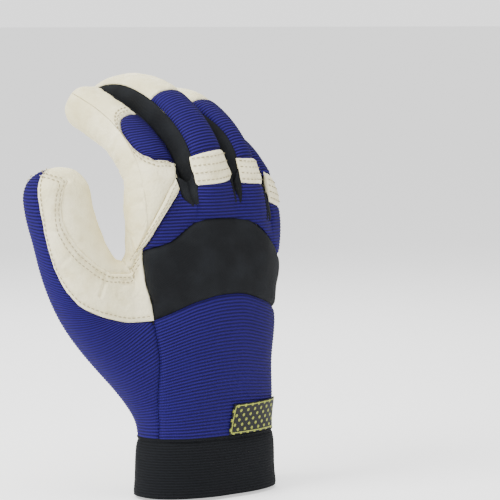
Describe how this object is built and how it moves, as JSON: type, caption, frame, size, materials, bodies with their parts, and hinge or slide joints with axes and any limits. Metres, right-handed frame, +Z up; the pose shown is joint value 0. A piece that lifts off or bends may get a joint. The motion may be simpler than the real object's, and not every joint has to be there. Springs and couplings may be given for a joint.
{
  "type": "mechanic glove",
  "caption": "Right-hand work glove, curled as worn: knit back, leather palm and fingertips, padded knuckle band, elastic cuff with closure tab.",
  "frame": {"origin": "centre of the wrist opening, at the cuff's lower edge", "axes": "+Z up from the wrist to the fingers, -Y the back of the hand, +Y the palm, -X the thumb's side"},
  "size_m": [0.1339, 0.0902, 0.2024],
  "materials": {
    "leather": "matt grain leather",
    "blue_knit": "ribbed knit",
    "neoprene": "matt knit over foam",
    "elastic": "matt woven elastic",
    "vinyl": "glossy moulded",
    "woven_label": "woven"
  },
  "bodies": {
    "root": {"cuff_band": "elastic", "palm_leather": "leather", "index_wrap_leather": "leather", "hem_strip": "leather", "thumb_saddle": "leather", "thumb_knit": "blue_knit", "hand_back_knit_lower": "blue_knit", "knuckle_band": "neoprene", "hand_back_knit_upper": "blue_knit", "index_back_knit": "blue_knit", "middle_back_knit": "blue_knit", "ring_back_knit": "blue_knit", "little_back_knit": "blue_knit", "middle_tip_cap": "leather", "ring_tip_cap": "leather", "knuckle_strip_middle": "leather", "knuckle_strip_ring": "leather", "knuckle_strip_little": "leather", "fourchette_index_middle": "neoprene", "fourchette_middle_ring": "neoprene", "fourchette_ring_little": "neoprene", "wrist_strap": "vinyl", "strap_welt": "vinyl", "woven_tag": "woven_label"}
  },
  "joints": []
}
